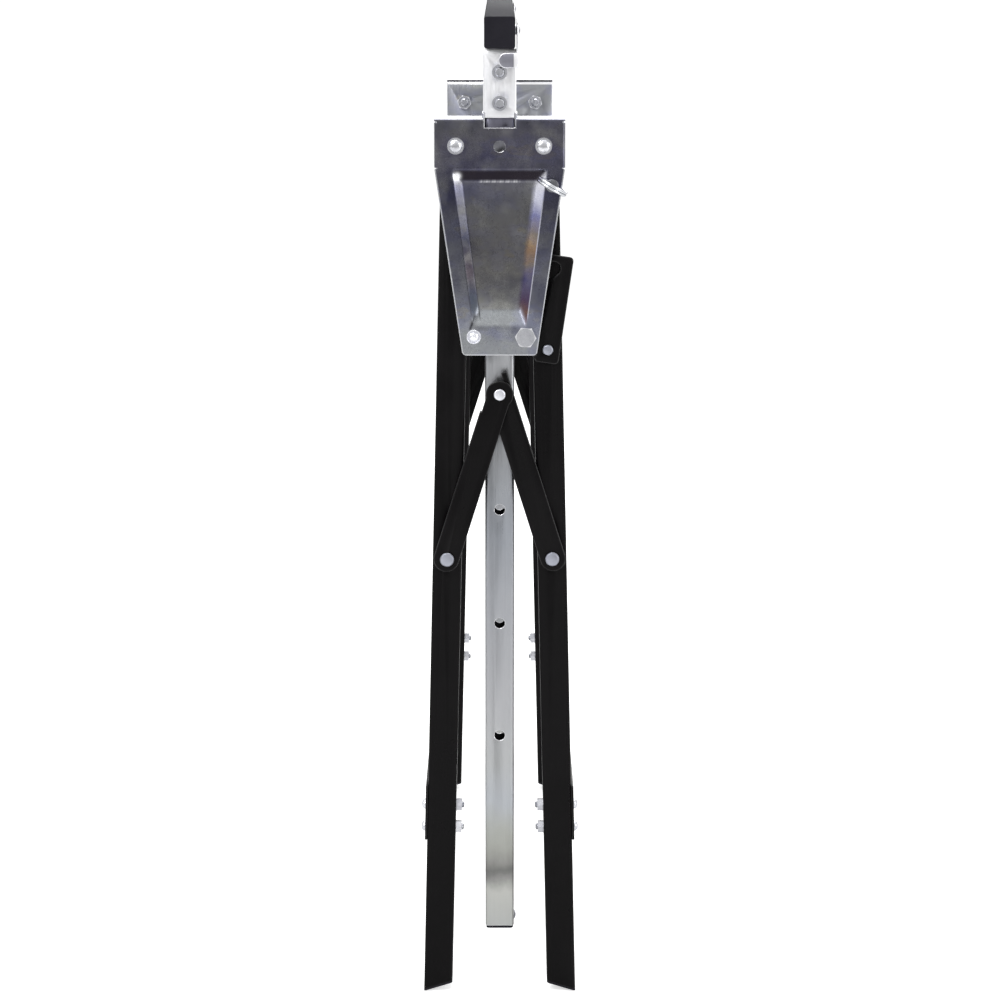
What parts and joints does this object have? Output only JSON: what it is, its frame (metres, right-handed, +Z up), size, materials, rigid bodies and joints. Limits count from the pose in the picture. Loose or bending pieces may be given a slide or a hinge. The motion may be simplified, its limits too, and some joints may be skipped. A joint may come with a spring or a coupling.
{
  "type": "folding trestle",
  "caption": "Height-adjustable folding trestle with splayed tube legs, sliding posts, pressed end brackets, scissor braces, hook levers and a padded top bar.",
  "frame": {"origin": "on the floor under the middle of the folded trestle", "axes": "+Z up, +Y along the top bar, +X across the legs; the end shown in the picture faces -Y"},
  "size_m": [0.138, 0.762, 0.8535],
  "materials": {
    "bracket_zinc": "dark blue passivated zinc",
    "sheet_zinc": "zinc plated",
    "post_zinc": "satin zinc",
    "bright_zinc": "bright zinc",
    "fastener_zinc": "zinc plated",
    "rivet_steel": "zinc plated",
    "pin_steel": "bright",
    "blued_steel": "dark blue passivated zinc",
    "black_coat": "powder coated",
    "black_plastic": "moulded",
    "pad_rubber": "matt"
  },
  "bodies": {
    "head": {"front_outer_plate": "bracket_zinc", "rear_outer_plate": "bracket_zinc", "front_inner_plate": "sheet_zinc", "rear_inner_plate": "sheet_zinc", "front_post_guide": "sheet_zinc", "rear_post_guide": "sheet_zinc", "head_rail": "sheet_zinc", "head_rail_bolts": "fastener_zinc", "hinge_bolts": "fastener_zinc", "hinge_nuts": "fastener_zinc", "hinge_bushes": "rivet_steel", "guide_rivets": "rivet_steel", "guide_bushes": "rivet_steel", "hook_bolts": "fastener_zinc", "hook_bolt_nuts": "fastener_zinc", "pin_bushes": "rivet_steel"},
    "left_frame": {"front_left_leg": "black_coat", "rear_left_leg": "black_coat", "left_foot_plugs": "black_plastic", "left_strut": "black_coat", "left_strut_bolts": "fastener_zinc", "left_strut_nuts": "fastener_zinc", "left_brace_rivets": "rivet_steel"},
    "right_frame": {"front_right_leg": "black_coat", "rear_right_leg": "black_coat", "right_foot_plugs": "black_plastic", "right_strut": "black_coat", "right_strut_bolts": "fastener_zinc", "right_strut_nuts": "fastener_zinc", "lever_rivets": "rivet_steel", "right_brace_tails": "rivet_steel"},
    "front_left_brace": {"front_left_brace": "black_coat", "front_centre_rivet": "rivet_steel"},
    "rear_left_brace": {"rear_left_brace": "black_coat", "rear_centre_rivet": "rivet_steel"},
    "front_right_brace": {"front_right_brace": "black_coat", "front_right_brace_rivet": "rivet_steel"},
    "rear_right_brace": {"rear_right_brace": "black_coat", "rear_right_brace_rivet": "rivet_steel"},
    "front_hook_lever": {"front_hook_lever": "black_coat"},
    "rear_hook_lever": {"rear_hook_lever": "black_coat"},
    "lift": {"front_post": "post_zinc", "rear_post": "post_zinc", "post_plugs": "black_plastic", "stop_screws": "fastener_zinc", "saddles": "bright_zinc", "saddle_bolts": "fastener_zinc", "saddle_nuts": "fastener_zinc", "top_bar": "black_coat", "bar_pad": "pad_rubber", "bar_end_caps": "black_plastic", "end_stop_rivets": "fastener_zinc"},
    "front_end_stop": {"front_end_stop": "blued_steel"},
    "rear_end_stop": {"rear_end_stop": "blued_steel"},
    "front_lock_pin": {"front_lock_pin": "pin_steel", "front_pin_ring": "pin_steel"},
    "rear_lock_pin": {"rear_lock_pin": "pin_steel", "rear_pin_ring": "pin_steel"}
  },
  "joints": [
    {"name": "left_fold", "type": "hinge", "parent": "head", "child": "left_frame", "pos_m": [-0.037, 0, 0.7457], "axis": [0, 1, 0], "range_deg": [0, 17]},
    {"name": "right_fold", "type": "hinge", "parent": "head", "child": "right_frame", "pos_m": [0.037, 0, 0.7457], "axis": [0, -1, 0], "range_deg": [0, 17]},
    {"name": "front_left_brace_pivot", "type": "hinge", "parent": "left_frame", "child": "front_left_brace", "pos_m": [-0.04529, -0.3471, 0.3914], "axis": [0, 1, 0], "range_deg": [0, 46.85]},
    {"name": "front_brace_centre_pivot", "type": "hinge", "parent": "front_left_brace", "child": "front_right_brace", "pos_m": [0, -0.3456, 0.53461], "axis": [0, -1, 0], "range_deg": [0, 127.71]},
    {"name": "front_hook_lever_pivot", "type": "hinge", "parent": "right_frame", "child": "front_hook_lever", "pos_m": [0.04105, -0.3414, 0.5724], "axis": [0, -1, 0], "range_deg": [0, 74.43]},
    {"name": "front_pin_draw", "type": "slide", "parent": "head", "child": "front_lock_pin", "axis": [0, -1, 0], "range_m": [0, 0.0125]},
    {"name": "rear_left_brace_pivot", "type": "hinge", "parent": "left_frame", "child": "rear_left_brace", "pos_m": [-0.04529, 0.3471, 0.3914], "axis": [0, 1, 0], "range_deg": [0, 46.85]},
    {"name": "rear_brace_centre_pivot", "type": "hinge", "parent": "rear_left_brace", "child": "rear_right_brace", "pos_m": [0, 0.3456, 0.53461], "axis": [0, -1, 0], "range_deg": [0, 127.71]},
    {"name": "rear_hook_lever_pivot", "type": "hinge", "parent": "right_frame", "child": "rear_hook_lever", "pos_m": [0.04105, 0.3414, 0.5724], "axis": [0, -1, 0], "range_deg": [0, 74.43]},
    {"name": "rear_pin_draw", "type": "slide", "parent": "head", "child": "rear_lock_pin", "axis": [0, 1, 0], "range_m": [0, 0.0125]},
    {"name": "lift_slide", "type": "slide", "parent": "head", "child": "lift", "axis": [0, 0, 1], "range_m": [0, 0.5117]},
    {"name": "front_end_stop_flip", "type": "hinge", "parent": "lift", "child": "front_end_stop", "pos_m": [0.01505, -0.338, 0.842], "axis": [-1, 0, 0], "range_deg": [0, 180]},
    {"name": "rear_end_stop_flip", "type": "hinge", "parent": "lift", "child": "rear_end_stop", "pos_m": [0.01505, 0.338, 0.842], "axis": [1, 0, 0], "range_deg": [0, 180]}
  ],
  "couplings": [
    {"joint": "right_fold", "follows": "left_fold", "ratio": 1},
    {"joint": "front_left_brace_pivot", "follows": "left_fold", "ratio": 2.7561},
    {"joint": "front_brace_centre_pivot", "follows": "left_fold", "ratio": 7.5123},
    {"joint": "front_hook_lever_pivot", "follows": "left_fold", "ratio": 4.3783},
    {"joint": "front_pin_draw", "follows": "left_fold", "m_per_rad": 0.042129},
    {"joint": "rear_left_brace_pivot", "follows": "left_fold", "ratio": 2.7561},
    {"joint": "rear_brace_centre_pivot", "follows": "left_fold", "ratio": 7.5123},
    {"joint": "rear_hook_lever_pivot", "follows": "left_fold", "ratio": 4.3783},
    {"joint": "rear_pin_draw", "follows": "left_fold", "m_per_rad": 0.042129}
  ]
}
